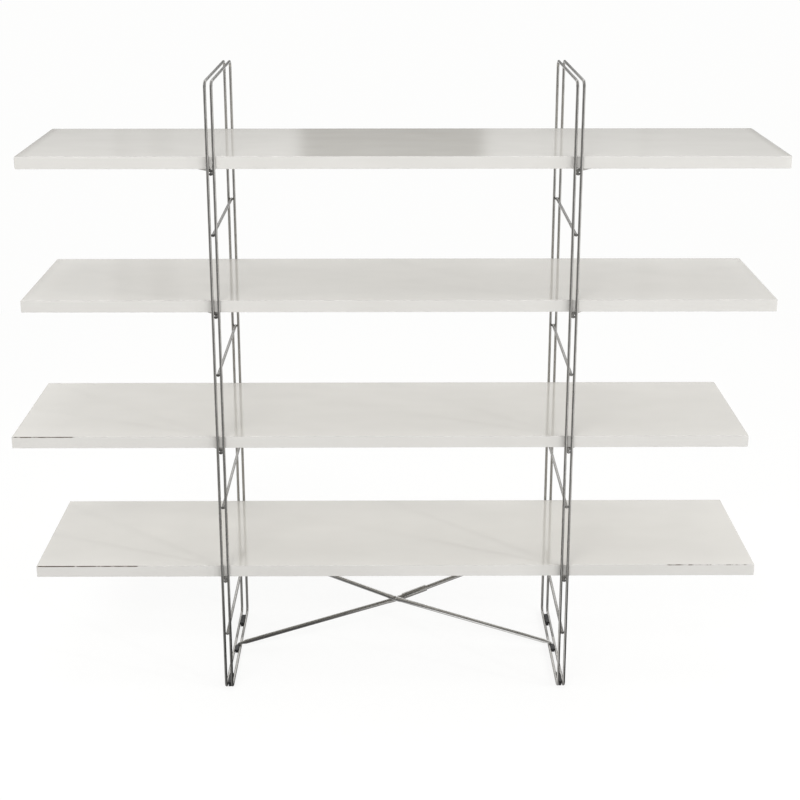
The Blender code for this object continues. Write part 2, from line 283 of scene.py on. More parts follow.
def plated_material(name, bright, dull, roughness, streak=0.5):
    """Plated drawn wire: die lines along it, cloudy patches and a few dark pinholes."""
    material, tree, shader = new_material(name)
    along = wire_coordinates(tree)
    place = object_coordinates(tree)
    cloud = place_texture(tree, "ShaderNodeTexNoise", place, (38, 38, 11), values={"Detail": 4.0})
    tone = ramp(tree, cloud.outputs["Fac"], ((0.32, dull), (0.66, bright)))
    pit = place_texture(tree, "ShaderNodeTexNoise", place, (900, 900, 900), values={"Detail": 1.0})
    pits = ramp(tree, pit.outputs["Fac"], ((0.70, 1.0), (0.76, 0.45)))
    tree.links.new(mix_color(tree, 1.0, tone, pits, "MULTIPLY"), shader.inputs["Base Color"])

    drawn = place_texture(tree, "ShaderNodeTexNoise", along, (2600, 22, 1), values={"Detail": 2.0})
    fog = ramp(tree, cloud.outputs["Fac"], ((0.30, roughness * 1.7), (0.62, roughness)))
    lines = ramp(tree, drawn.outputs["Fac"], ((0.35, 0.0), (0.70, 1.0)))
    rough = mix_color(tree, math_node(tree, "MULTIPLY", lines, streak * 0.4), fog, (0.42, 0.42, 0.42))
    tree.links.new(rough, shader.inputs["Roughness"])

    below = add_bump(tree, shader, drawn.outputs["Fac"], 0.00002, streak * 0.5)
    ripple = place_texture(tree, "ShaderNodeTexNoise", place, (45, 45, 16), values={"Detail": 1.0})
    add_bump(tree, shader, ripple.outputs["Fac"], 0.0004, 0.04, below)
    shader.inputs["Metallic"].default_value = 1.0
    return material


def weld_material():
    """Weld nuggets under the plating: duller and grainier than the wire."""
    material, tree, shader = new_material("plated_weld")
    place = object_coordinates(tree)
    grain = place_texture(tree, "ShaderNodeTexNoise", place, (1400, 1400, 1400), values={"Detail": 4.0})
    tone = ramp(tree, grain.outputs["Fac"], ((0.30, (0.17, 0.16, 0.15)), (0.70, (0.47, 0.46, 0.44))))
    tree.links.new(tone, shader.inputs["Base Color"])
    rough = ramp(tree, grain.outputs["Fac"], ((0.30, 0.55), (0.75, 0.28)))
    tree.links.new(rough, shader.inputs["Roughness"])
    add_bump(tree, shader, grain.outputs["Fac"], 0.0002, 0.6)
    shader.inputs["Metallic"].default_value = 1.0
    return material


def plastic_material():
    """Moulded black plastic with a fine grain, scuffed grey where it rubs."""
    material, tree, shader = new_material("moulded_black_plastic")
    place = object_coordinates(tree)
    scuff = place_texture(tree, "ShaderNodeTexNoise", place, (130, 130, 300), values={"Detail": 5.0})
    tone = ramp(tree, scuff.outputs["Fac"], ((0.50, (0.012, 0.012, 0.013)), (0.78, (0.060, 0.059, 0.057))))
    tree.links.new(tone, shader.inputs["Base Color"])
    rough = ramp(tree, scuff.outputs["Fac"], ((0.35, 0.34), (0.75, 0.62)))
    tree.links.new(rough, shader.inputs["Roughness"])
    grain = place_texture(tree, "ShaderNodeTexNoise", place, (2200, 2200, 2200), values={"Detail": 2.0})
    add_bump(tree, shader, grain.outputs["Fac"], 0.0001, 0.35)
    return material


def make_materials():
    return {
        "laminate": laminate_material("white_laminate", (0.640, 0.622, 0.582), (0.618, 0.600, 0.560), 0.10),
        "band": laminate_material("white_edge_band", (0.668, 0.655, 0.630), (0.650, 0.637, 0.611), 0.16),
        "wire": plated_material("plated_wire", (0.50, 0.49, 0.47), (0.40, 0.39, 0.37), 0.17),
        # The two brace rods have one plating. This copy is painted lighter as a painted highlight for light
        # from the right, and the next copy is painted darker as painted shade.
        "rod": plated_material("plated_rod", (0.84, 0.83, 0.81), (0.72, 0.71, 0.69), 0.13, 0.3),
        "shade_painted_rod": plated_material("plated_rod_shade_painted", (0.50, 0.49, 0.47), (0.40, 0.39, 0.37), 0.16, 0.3),
        "rivet": plated_material("plated_rivet", (0.58, 0.57, 0.55), (0.42, 0.41, 0.39), 0.26, 0.2),
        "weld": weld_material(),
        "plastic": plastic_material(),
    }


# ---------------------------------------------------------------- shapes


def corner_arc(before, corner, after, radius):
    """Points of the arc that rounds a corner of a path."""
    arriving = (corner - before).normalized()
    leaving = (after - corner).normalized()
    turn = arriving.angle(leaving)
    start = corner - arriving * radius * math.tan(turn / 2)
    inward = (leaving - arriving * math.cos(turn)).normalized()
    centre = start + inward * radius
    steps = max(2, math.ceil(turn / ARC_STEP))
    angles = [turn * step / steps for step in range(steps + 1)]
    return [centre + (arriving * math.sin(a) - inward * math.cos(a)) * radius for a in angles]


def rounded_path(corners, closed=False):
    """Points and wire radii along a path given as (corner, bend radius, wire radius)."""
    path = []
    count = len(corners)
    for index, (corner, bend, thickness) in enumerate(corners):
        is_end = not closed and index in (0, count - 1)
        if is_end or bend == 0:
            path.append((corner, thickness))
            continue
        before = corners[index - 1][0]
        after = corners[(index + 1) % count][0]
        path += [(point, thickness) for point in corner_arc(before, corner, after, bend)]
    return path


def cut_ends(path):
    """The path of an open wire with its two sheared ends lightly chamfered."""
    made = list(path)
    for index, towards in ((0, 1), (-1, -2)):
        point, thickness = path[index]
        inward = (path[towards][0] - point).normalized()
        made[index] = (point + inward * CUT_CHAMFER, thickness)
        end = (point, thickness - CUT_CHAMFER)
        made = [end, *made] if index == 0 else [*made, end]
    return made


def path_directions(points, closed):
    """The direction of travel at each point of a path."""
    directions = []
    last = len(points) - 1
    for index, point in enumerate(points):
        before = points[index - 1] if index or closed else point
        after = points[(index + 1) % len(points)] if index < last or closed else point
        arriving = (point - before).normalized() if before != point else Vector()
        leaving = (after - point).normalized() if after != point else Vector()
        directions.append((arriving + leaving).normalized())
    return directions


def wire_mesh(name, path, reference, closed=False, squeeze=None):
    """A round wire along a path, with a map of the distance around and along it.

    The reference is a direction that the path never runs along. squeeze gives, for a distance along
    the path, how much thinner it is along the reference and how much wider across it.
    """
    points = [point for point, _ in path]
    directions = path_directions(points, closed)
    lengths = [0.0]
    for before, after in zip(points, points[1:]):
        lengths.append(lengths[-1] + (after - before).length)
    verts = []
    for (point, radius), ahead, length in zip(path, directions, lengths):
        up = (reference - ahead * reference.dot(ahead)).normalized()
        side = ahead.cross(up)
        thin, wide = squeeze(length, lengths[-1]) if squeeze else (1.0, 1.0)
        for step in range(WIRE_SEGMENTS):
            angle = 2 * math.pi * step / WIRE_SEGMENTS
            spoke = up * math.cos(angle) * thin + side * math.sin(angle) * wide
            verts.append(point + spoke * radius)
    faces, maps = [], []
    rings = len(points)
    around = 2 * math.pi * path[len(path) // 2][1] / WIRE_SEGMENTS
    total = lengths[-1] + (points[0] - points[-1]).length
    for ring in range(rings if closed else rings - 1):
        after = (ring + 1) % rings
        low, high = lengths[ring], lengths[after] if after else total
        for step in range(WIRE_SEGMENTS):
            turn = (step + 1) % WIRE_SEGMENTS
            faces.append(
                (
                    ring * WIRE_SEGMENTS + step,
                    ring * WIRE_SEGMENTS + turn,
                    after * WIRE_SEGMENTS + turn,
                    after * WIRE_SEGMENTS + step,
                )
            )
            left, right = step * around, (step + 1) * around
            maps += [(left, low), (right, low), (right, high), (left, high)]
    if not closed:
        for first, flip in ((0, True), ((rings - 1) * WIRE_SEGMENTS, False)):
            cap = list(range(first, first + WIRE_SEGMENTS))
            faces.append(tuple(reversed(cap)) if flip else tuple(cap))
            maps += [(0.0, 0.0)] * WIRE_SEGMENTS
    mesh = bpy.data.meshes.new(name)
    mesh.from_pydata(verts, [], faces)
    layer = mesh.uv_layers.new(name="wire")
    layer.data.foreach_set("uv", [value for pair in maps for value in pair])
    mesh.validate()
    mesh.shade_smooth()
    mesh.set_sharp_from_angle(angle=SHARP_ANGLE)
    return mesh


def add_piece(name, mesh, material, body, replaced=()):
    """A finished piece that rides on a body and stands for its plain nodes."""
    piece = bpy.data.objects.new(name, mesh)
    bpy.context.scene.collection.objects.link(piece)
    mesh.materials.append(material)
    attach(piece, body)
    if replaced:
        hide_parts(*replaced)
    return piece


def box_middle(node):
    low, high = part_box(node)
    return (low + high) / 2, (high - low) / 2


# ---------------------------------------------------------------- boards


def chip_depth(board, along):
    """How deep the front top edge is chipped at a distance from the board's left end."""
    deepest = 0.0
    for name, start, end, wear in WORN_EDGES:
        if name != board or not start < along < end:
            continue
        fade = min(1.0, (along - start) / 0.004, (end - along) / 0.006)
        coarse = noise.noise(Vector((along * 70.0, 3.7, 1.1 + wear)))
        fine = noise.noise(Vector((along * 420.0, 9.2, 5.3)))
        deepest = max(deepest, fade * max(0.0, wear + 0.55 * coarse + 0.30 * fine - 0.10))
    return min(deepest, 1.25) * DEEPEST_CHIP


def board_stations(board, half_length):
    """Distances from the board's middle, closer together where the edge is worn."""
    stretches = [(start, end) for name, start, end, _ in WORN_EDGES if name == board]
    stations = []
    along = EDGE_RADIUS
    length = 2 * half_length
    while along < length - EDGE_RADIUS:
        stations.append(along - half_length)
        near = any(start - STATION_STEP < along < end for start, end in stretches)
        along += WORN_STATION_STEP if near else STATION_STEP
    return [*stations, half_length - EDGE_RADIUS]


def board_section(half_depth, half_thick, inset, chip):
    """The closed section of a board as (y, z, worn), from the front bottom round over the top.

    Its long sides carry a hairline groove where the edge band meets the laminate.
    """
    radius = EDGE_RADIUS - inset
    section = []
    for y_side, z_side in ((-1, -1), (-1, 1), (1, 1), (1, -1)):
        centre_y = y_side * (half_depth - EDGE_RADIUS)
        centre_z = z_side * (half_thick - EDGE_RADIUS)
        flat_z = z_side * (half_thick - inset)
        groove_y = y_side * (half_depth - BAND_THICKNESS)
        chipped = chip if (y_side, z_side) == (-1, 1) else 0.0
        groove = [
            (groove_y - BAND_GROOVE * y_side, flat_z, 0.0),
            (groove_y, flat_z - z_side * BAND_GROOVE, chipped * 0.4),
            (groove_y + BAND_GROOVE * y_side, flat_z, chipped * 0.8),
        ]
        corner = []
        for step in range(EDGE_STEPS + 1):
            angle = math.radians(90) * step / EDGE_STEPS
            reach = chipped * (0.75 + 0.25 * math.sin(2 * angle))
            y = centre_y + y_side * (radius * math.sin(angle) - reach * 0.6)
            z = centre_z + z_side * (radius * math.cos(angle) - reach * 0.8)
            corner.append((y, z, chipped))
        side = [
            (y_side * (half_depth - inset), centre_z - z_side * WORN_FACE_HEIGHT * share, chipped * worn)
            for share, worn in ((0.5, 0.5), (1.0, 0.0))
        ]
        strip = [*groove, *corner, *side]
        section += strip if y_side != z_side * -1 else list(reversed(strip))
    return section


def board_mesh(board, length_half, depth_half, thick_half):
    """A board lofted from its end to end, with rounded ends; face roles: 0 laminate, 1 band."""
    rings = []
    for step in range(EDGE_STEPS):
        angle = math.radians(90) * step / EDGE_STEPS
        inset = EDGE_RADIUS * (1 - math.sin(angle)) * 0.999
        rings.append((-length_half + EDGE_RADIUS * (1 - math.cos(angle)), inset, 0.0))
    for x in board_stations(board, length_half):
        rings.append((x, 0.0, chip_depth(board, x + length_half)))
    for step in reversed(range(EDGE_STEPS)):
        angle = math.radians(90) * step / EDGE_STEPS
        inset = EDGE_RADIUS * (1 - math.sin(angle)) * 0.999
        rings.append((length_half - EDGE_RADIUS * (1 - math.cos(angle)), inset, 0.0))
    verts, worn = [], []
    for x, inset, chip in rings:
        for y, z, depth in board_section(depth_half, thick_half, inset, chip):
            verts.append((x, y, z))
            worn.append(min(1.0, depth / (DEEPEST_CHIP * 0.45)))
    count = len(verts) // len(rings)
    faces, roles = [], []
    for ring in range(len(rings) - 1):
        for step in range(count):
            turn = (step + 1) % count
            quad = (
                ring * count + step,
                (ring + 1) * count + step,
                (ring + 1) * count + turn,
                ring * count + turn,
            )
            faces.append(quad)
            flat = all(abs(verts[v][1]) <= depth_half - BAND_THICKNESS + BAND_GROOVE / 2 for v in quad)
            roles.append(0 if flat else 1)
    faces.append(tuple(range(count)))
    faces.append(tuple(reversed(range((len(rings) - 1) * count, len(rings) * count))))
    roles += [1, 1]
    mesh = bpy.data.meshes.new(board + "_board")
    mesh.from_pydata(verts, [], faces)
    mesh.polygons.foreach_set("material_index", roles)
    layer = mesh.attributes.new("worn", "FLOAT", "POINT")
    layer.data.foreach_set("value", worn)
    mesh.shade_smooth()
    mesh.set_sharp_from_angle(angle=math.radians(24))
    return mesh


def make_boards(materials):
    """The four boards, each on the body that slides."""
    for place in BOARDS:
        body, node = "board_" + place, "shelf_" + place
        middle, half = box_middle(node)
        mesh = board_mesh(node, half.x, half.y, half.z)
        mesh.transform(Matrix.Translation(middle))
        mesh.materials.append(materials["laminate"])
        add_piece(node + "_board", mesh, materials["band"], body, [node])


# ---------------------------------------------------------------- frames


def make_hoop(node, materials):
    """A closed wire hoop with the ring of its butt weld on the floor bar."""
    low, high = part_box(node)
    wire = (high.x - low.x) / 2
    x = (low.x + high.x) / 2
    front, rear = low.y + wire, high.y - wire
    bottom, top = low.z + wire, high.z - wire
    weld = []
    for step, rise in ((2, 0.0), (1, 0.7), (0, 1.0), (-1, 0.7), (-2, 0.0)):
        y = BUTT_WELD_Y + step * BUTT_WELD_HALF_LENGTH / 2
        weld.append((Vector((x, y, bottom)), 0, wire + rise * BUTT_WELD_RISE))
    outline = ((front, bottom), (front, top), (rear, top), (rear, bottom))
    corners = [(Vector((x, y, z)), HOOP_CORNER_RADIUS, wire) for y, z in outline]
    path = rounded_path([*corners, *weld], closed=True)
    mesh = wire_mesh(node + "_wire", path, Vector((1, 0, 0)), closed=True)
    add_piece(node + "_wire", mesh, materials["wire"], "frames", [node])


def make_rung(node, materials):
    """A straight rod from front to back with sheared ends."""
    middle, half = box_middle(node)
    reach = Vector((0, half.y, 0))
    path = cut_ends([(middle - reach, half.z), (middle + reach, half.z)])
    mesh = wire_mesh(node + "_rod", path, Vector((0, 0, 1)))
    add_piece(node + "_rod", mesh, materials["wire"], "frames", [node])


def make_support_wire(node, side, materials):
    """The bowed wire under a board, sheared at both ends."""
    low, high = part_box(node)
    wire = (high.z - low.z) / 2
    z = (low.z + high.z) / 2
    x = frame_middle(side)
    outward = SIDES[side]
    bow_y = BOW_TURN_Y - BOW_REACH
    front = [
        (Vector((x, low.y, z)), 0, wire),
        (Vector((x, -BOW_TURN_Y, z)), BOW_START_RADIUS, wire),
        (Vector((x + outward * BOW_REACH, -bow_y, z)), BOW_CORNER_RADIUS, wire),
    ]
    rear = [(Vector((p.x, -p.y, p.z)), bend, radius) for p, bend, radius in reversed(front)]
    path = cut_ends(rounded_path([*front, *rear]))
    mesh = wire_mesh(node + "_bow", path, Vector((0, 0, 1)))
    add_piece(node + "_bow", mesh, materials["wire"], "frames", [node])


def make_spacer(node, materials):
    """A short pin between the floor bars, flared where it is welded to them."""
    middle, half = box_middle(node)
    path = []
    for step in range(-SPACER_STEPS, SPACER_STEPS + 1):
        share = step / SPACER_STEPS
        flare = min(SPACER_WAIST + SPACER_FLARE * abs(share) ** 5, SPACER_WIDEST)
        path.append((middle + Vector((half.x * share, 0, 0)), half.z * flare * SPACER_SHARE))
    mesh = wire_mesh(node + "_pin", path, Vector((0, 0, 1)))
    add_piece(node + "_pin", mesh, materials["wire"], "frames", [node])


def frame_middle(side):
    """The X position midway between the two hoops of a frame."""
    outer, _ = box_middle(f"{side}_hoop_outer")
    inner, _ = box_middle(f"{side}_hoop_inner")
    return (outer.x + inner.x) / 2


def bead_places(side):
    """The gaps between the cross wires and the hoops of a frame, where they are welded."""
    middle = frame_middle(side)
    leg, leg_half = box_middle(f"{side}_hoop_outer")
    wire = leg_half.x
    places = []
    for level in LEVELS:
        for kind in ("shelf_rung", "bay_rung", "support_wire"):
            node_middle, half = box_middle(f"{side}_{kind}_{level}")
            for x_side in (-1, 1):
                for y_side in (-1, 1):
                    gap_x = middle + x_side * (half.z + abs(leg.x - middle) - wire) / 2
                    places.append(Vector((gap_x, y_side * (leg_half.y - wire), node_middle.z)))
    return places


def make_weld_beads(side, materials):
    """Small uneven nuggets in the gaps between the crossing wires of a frame."""
    bm = bmesh.new()
    for index, place in enumerate(bead_places(side)):
        made = bmesh.ops.create_uvsphere(bm, u_segments=12, v_segments=8, radius=1.0)
        for vert in made["verts"]:
            seed = vert.co * 1.3 + Vector((index * 7.31, side == "left", 2.0))
            spoke = vert.co.copy()
            vert.co = Vector(a * b for a, b in zip(spoke, BEAD_RADII))
            vert.co += spoke * noise.noise(seed) * BEAD_ROUGHNESS
            vert.co += place
    mesh = bpy.data.meshes.new(side + "_weld_beads")
    bm.to_mesh(mesh)
    bm.free()
    mesh.shade_smooth()
    add_piece(side + "_weld_beads", mesh, materials["weld"], "frames")


# ---------------------------------------------------------------- plastic


def strip_mesh(name, half_outline, half_length):
    """A moulded strip: a flat outline mirrored across x = 0, run along y."""
    outline = [*half_outline, *((-x, z) for x, z in reversed(half_outline))]
    bm = bmesh.new()
    near = [bm.verts.new((x, -half_length, z)) for x, z in outline]
    face = bm.faces.new(near)
    made = bmesh.ops.extrude_face_region(bm, geom=[face])
    moved = [item for item in made["geom"] if isinstance(item, bmesh.types.BMVert)]
    bmesh.ops.translate(bm, vec=(0, 2 * half_length, 0), verts=moved)
    bmesh.ops.recalc_face_normals(bm, faces=bm.faces)
    mesh = bpy.data.meshes.new(name)
    bm.to_mesh(mesh)
    bm.free()
    return mesh


def soften(piece):
    """Rounds a moulded piece's edges."""
    bevel = piece.modifiers.new("moulded_edges", "BEVEL")
    bevel.width = MOULDED_EDGE
    bevel.segments = 3
    bevel.limit_method = "ANGLE"
    bevel.angle_limit = math.radians(30)
    bevel.harden_normals = True
    piece.data.shade_smooth()


def clip_outline(height, cap):
    """Half outline of a strip pressed between two bars: its stem, then the cap over them."""
    under = height - CAP_THICKNESS
    chamfer = CAP_THICKNESS / 2
    return [(STEM, 0.0), (STEM, under), (cap, under), (cap, under + chamfer), (cap - chamfer, height)]


def make_strip(node, upright, materials):
    """A foot, or a stop for a brace hook, between two floor bars or two rear legs."""
    low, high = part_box(node)
    middle = (low + high) / 2
    size = high - low
    rise, run = (size.y, size.z) if upright else (size.z, size.y)
    mesh = strip_mesh(node + "_moulding", clip_outline(rise, size.x / 2), run / 2)
    if upright:
        turn = Matrix.Rotation(math.radians(90), 4, "X")
        mesh.transform(Matrix.Translation((middle.x, high.y, middle.z)) @ turn)
    else:
        mesh.transform(Matrix.Translation((middle.x, middle.y, low.z)))
    soften(add_piece(node + "_moulding", mesh, materials["plastic"], "frames", [node]))


def make_frame(side, materials):
    """One ladder frame with its welds, feet and stops."""
    for hoop in HOOPS:
        make_hoop(f"{side}_hoop_{hoop}", materials)
    for level in LEVELS:
        make_rung(f"{side}_shelf_rung_{level}", materials)
        make_rung(f"{side}_bay_rung_{level}", materials)
        make_support_wire(f"{side}_support_wire_{level}", side, materials)
    for end in ENDS:
        make_spacer(f"{side}_{end}_spacer", materials)
        make_strip(f"{side}_{end}_foot", False, materials)
    make_strip(f"{side}_lower_brace_clip", False, materials)
    make_strip(f"{side}_upper_brace_clip", True, materials)
    make_weld_beads(side, materials)


# ---------------------------------------------------------------- brace


def make_brace_rod(node, lower_side, spacing_side, crossing, normal, material):
    """A rod with a hook at each end, flattened where the rivet goes through it."""
    inner_low, inner_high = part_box("left_hoop_inner")
    inner_right = box_middle("right_hoop_inner")[0].x
    inner_left = box_middle("left_hoop_inner")[0].x
    wire = (inner_high.x - inner_low.x) / 2
    bar_z = inner_low.z + wire
    leg_y = inner_high.y - wire
    reach = wire + HOOK_CLEARANCE + HOOK_RADIUS
    half = (inner_right - inner_left) / 2 + reach
    centre = crossing + normal * spacing_side * BRACE_HALF_SPACING
    low_box, high_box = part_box(node)
    fall = math.atan2(centre.z - bar_z - reach, half)
    lower_z = bar_z + reach * math.tan(math.radians(45) - fall / 2)
    back = math.atan2(leg_y - reach - centre.y, half)
    upper_y = leg_y - reach * math.tan(math.radians(45) - back / 2)
    lower = Vector((crossing.x + lower_side * half, low_box.y + HOOK_RADIUS, lower_z))
    lower_tip = Vector((lower.x, lower.y, low_box.z))
    upper = Vector((crossing.x - lower_side * half, upper_y, high_box.z - HOOK_RADIUS))
    upper_tip = Vector((upper.x, high_box.y, upper.z))
    corners = [
        *hooked_end(centre, lower, lower_tip, reach),
        (centre, BRACE_BEND_RADIUS, BRACE_RADIUS),
        *reversed(hooked_end(centre, upper, upper_tip, reach)),
    ]
    path = refine_pad(cut_ends(rounded_path(corners)), centre)
    along = distance_to(path, centre)

    def squeeze(length, _total):
        away = abs(length - along)
        share = min(1.0, max(0.0, (PAD_HALF_LENGTH + PAD_RUN_OUT - away) / PAD_RUN_OUT))
        share = share * share * (3 - 2 * share)
        return 1.0 + (PAD_THINNER - 1.0) * share, 1.0 + (PAD_WIDER - 1.0) * share

    mesh = wire_mesh(node + "_bar", path, normal, squeeze=squeeze)
    add_piece(node + "_bar", mesh, material, "frames", [node])
    return centre, (upper - centre).normalized()


def hooked_end(centre, corner, tip, reach):
    """The corners of half a brace rod, from its tip to the taper before the crossing."""
    inward = (centre - corner).normalized()
    return [
        (tip, 0, HOOK_RADIUS),
        (corner, reach, HOOK_RADIUS),
        (corner + inward * HOOK_TAPER_START, 0, HOOK_RADIUS),
        (corner + inward * HOOK_TAPER_END, 0, BRACE_RADIUS),
    ]


def refine_pad(path, centre):
    """Adds points to the straight runs near the crossing, so that the flat can form there."""
    made = [path[0]]
    for before, after in zip(path, path[1:]):
        span = after[0] - before[0]
        if span.length > LONG_RUN:
            near = min((before[0], after[0]), key=lambda point: (point - centre).length)
            away = span.normalized() * (1 if near == before[0] else -1)
            extra = [(near + away * distance, before[1]) for distance in PAD_STATIONS]
            made += sorted(extra, key=lambda item: (item[0] - before[0]).length)
        made.append(after)
    return made


def distance_to(path, centre):
    """The distance along a path of its point nearest to a place."""
    travelled, best, found = 0.0, 1.0, 0.0
    for before, after in zip(path, path[1:]):
        if (before[0] - centre).length < best:
            best, found = (before[0] - centre).length, travelled
        travelled += (after[0] - before[0]).length
    return found


def turned_mesh(name, profile):
    """A turned shape about the Z axis from its half section."""
    bm = bmesh.new()
    verts = [bm.verts.new((radius, 0.0, height)) for radius, height in profile]
    edges = [bm.edges.new(pair) for pair in zip(verts, verts[1:])]
    bmesh.ops.spin(
        bm,
        geom=[*verts, *edges],
        cent=(0, 0, 0),
        axis=(0, 0, 1),
        angle=math.radians(360),
        steps=TURNED_SEGMENTS,
        use_merge=True,
    )
    bmesh.ops.remove_doubles(bm, verts=bm.verts, dist=1e-6)
    bmesh.ops.recalc_face_normals(bm, faces=bm.faces)
    mesh = bpy.data.meshes.new(name)
    bm.to_mesh(mesh)
    bm.free()
    mesh.shade_smooth()
    mesh.set_sharp_from_angle(angle=SHARP_ANGLE)
    mesh.uv_layers.new(name="wire")
    return mesh


def make_rivet(crossing, normal, materials):
    """The turned rivet through both rods, with a domed head at each end."""
    seat = BRACE_HALF_SPACING + BRACE_RADIUS * PAD_THINNER
    dome = [
        (RIVET_HEAD_RADIUS * math.sin(a), seat + RIVET_HEAD_RIM + RIVET_HEAD_RISE * math.cos(a))
        for a in (math.radians(angle) for angle in range(0, 91, 10))
    ]
    half = [*dome, (RIVET_HEAD_RADIUS, seat), (RIVET_PIN_RADIUS, seat)]
    mirrored = [(radius, -height) for radius, height in reversed(half)]
    mesh = turned_mesh("brace_rivet_heads", [*half, *mirrored])
    turn = normal.to_track_quat("Z", "Y").to_matrix().to_4x4()
    mesh.transform(Matrix.Translation(crossing) @ turn)
    rivet = materials["rivet"]
    add_piece("brace_rivet_heads", mesh, rivet, "frames", ["brace_rivet"])


def make_sleeve(rod_middle, along, material):
    """The drawn sleeve round the upper arm of the front rod, its ends lightly rolled in."""
    half = SLEEVE_LENGTH / 2
    roll = [
        (SLEEVE_RADIUS - SLEEVE_ROLL * (1 - math.sin(a)), half - SLEEVE_ROLL * (1 - math.cos(a)))
        for a in (math.radians(90) * step / 4 for step in range(5))
    ]
    end = [(SLEEVE_BORE_RADIUS, half - SLEEVE_ROLL), (SLEEVE_BORE_RADIUS + SLEEVE_ROLL, half), *roll]
    profile = [*end, *((radius, -height) for radius, height in reversed(end))]
    mesh = turned_mesh("brace_sleeve_tube", [*profile, profile[0]])
    turn = along.to_track_quat("Z", "Y").to_matrix().to_4x4()
    mesh.transform(Matrix.Translation(rod_middle + along * (SLEEVE_START + half)) @ turn)
    add_piece("brace_sleeve_tube", mesh, material, "frames", ["brace_sleeve"])


def make_brace(materials):
    """Two crossing rods, the rivet through them and the sleeve round the front one."""
    rivet_middle, _ = box_middle("brace_rivet")
    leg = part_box("left_hoop_inner")
    wire = (leg[1].x - leg[0].x) / 2
    lower_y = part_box("brace_rod_a")[0].y + HOOK_RADIUS
    upper_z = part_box("brace_rod_a")[1].z - HOOK_RADIUS
    rise = Vector((0.0, leg[1].y - wire - lower_y, upper_z - leg[0].z - wire))
    normal = -Vector((1.0, 0.0, 0.0)).cross(rise).normalized()
    # Rod a and its sleeve carry the plating painted darker (painted shade); rod b carries the copy painted
    # lighter (painted highlight).
    rod_middle, along = make_brace_rod("brace_rod_a", -1, 1, rivet_middle, normal, materials["shade_painted_rod"])
    make_brace_rod("brace_rod_b", 1, -1, rivet_middle, normal, materials["rod"])
    make_sleeve(rod_middle, along, materials["shade_painted_rod"])
    make_rivet(rivet_middle, normal, materials)


# ---------------------------------------------------------------- stage


def make_floor():
    """A pale floor. It fades into the backdrop, and polished metal sees it as a darker room floor."""
    mesh = bpy.data.meshes.new("studio_floor")
    bm = bmesh.new()
    bmesh.ops.create_grid(bm, x_segments=8, y_segments=8, size=FLOOR_SIZE / 2)
    bm.to_mesh(mesh)
    bm.free()
    floor = bpy.data.objects.new("studio_floor", mesh)
    bpy.context.scene.collection.objects.link(floor)
    mesh.materials.append(floor_material())


def floor_material():
    """The floor's look to the camera, to polished metal and to light that bounces off it."""
    material, tree, shader = new_material("pale_floor")
    tree.nodes.remove(shader)
    place = object_coordinates(tree)
    length = add_node(tree, "ShaderNodeVectorMath", {"operation": "LENGTH"})
    tree.links.new(place, length.inputs[0])
    distance = length.outputs["Value"]
    rays = add_node(tree, "ShaderNodeLightPath")
    bounced = add_node(tree, "ShaderNodeBsdfDiffuse", values={"Color": (0.55, 0.55, 0.54, 1)})
    mirrored = mirrored_floor(tree, place, distance)
    unseen = mix_shaders(tree, rays.outputs["Is Glossy Ray"], bounced, mirrored)
    choice = mix_shaders(tree, rays.outputs["Is Camera Ray"], unseen, seen_floor(tree, distance))
    tree.links.new(choice.outputs[0], tree.nodes["Material Output"].inputs["Surface"])
    return material


def seen_floor(tree, distance):
    """The floor as the camera sees it: nearly white, with soft shadows close to the unit."""
    span = math_node(tree, "DIVIDE", distance, FLOOR_FADE_END)
    far = ramp(tree, span, ((FLOOR_FADE_START / FLOOR_FADE_END, 0.0), (1.0, 1.0)))
    lit = add_node(tree, "ShaderNodeBsdfDiffuse", values={"Color": (0.16, 0.16, 0.159, 1)})
    pale = {"Color": (1, 1, 0.995, 1)}
    lift = add_node(tree, "ShaderNodeEmission", values={**pale, "Strength": 0.84})
    backdrop = add_node(tree, "ShaderNodeEmission", values={**pale, "Strength": BACKDROP})
    return mix_shaders(tree, far, add_shaders(tree, lit, lift), backdrop)


def mirrored_floor(tree, place, distance):
    """The floor as polished metal sees it: patchy near the unit, then the low part of the room."""
    split = add_node(tree, "ShaderNodeSeparateXYZ")
    tree.links.new(place, split.inputs[0])
    rightward = math_node(tree, "DIVIDE", split.outputs["X"], distance)
    backward = math_node(tree, "DIVIDE", split.outputs["Y"], distance)
    away = ramp(tree, math_node(tree, "DIVIDE", distance, 2.0), ((0.40, 0.0), (0.80, 1.0)))
    near_front = ramp(
        tree,
        half_scale(tree, split.outputs["X"]),
        ((0.31, 0.24), (0.33, 0.05), (0.47, 0.05), (0.53, 0.70), (0.67, 0.70), (0.70, 0.06)),
    )
    behind = ramp(tree, half_scale(tree, backward), ((0.40, 0.0), (0.65, 1.0)))
    near_floor = mix_color(tree, behind, near_front, (0.32, 0.32, 0.32))
    reflected = mix_color(tree, away, near_floor, low_room(tree, rightward, backward))
    mirrored = add_node(tree, "ShaderNodeEmission", values={"Strength": ROOM_GAIN})
    tree.links.new(reflected, mirrored.inputs["Color"])
    return mirrored


def add_shaders(tree, first, second):
    node = add_node(tree, "ShaderNodeAddShader")
    tree.links.new(first.outputs[0], node.inputs[0])
    tree.links.new(second.outputs[0], node.inputs[1])
    return node


def mix_shaders(tree, factor, first, second):
    node = add_node(tree, "ShaderNodeMixShader")
    tree.links.new(factor, node.inputs[0])
    tree.links.new(first.outputs[0], node.inputs[1])
    tree.links.new(second.outputs[0], node.inputs[2])
    return node


def half_scale(tree, source, gain=0.5):
    """Maps -1..1 to 0..1, or a narrower span with a higher gain."""
    scaled = math_node(tree, "MULTIPLY_ADD", source, gain)
    scaled.node.inputs[2].default_value = 0.5
    return scaled


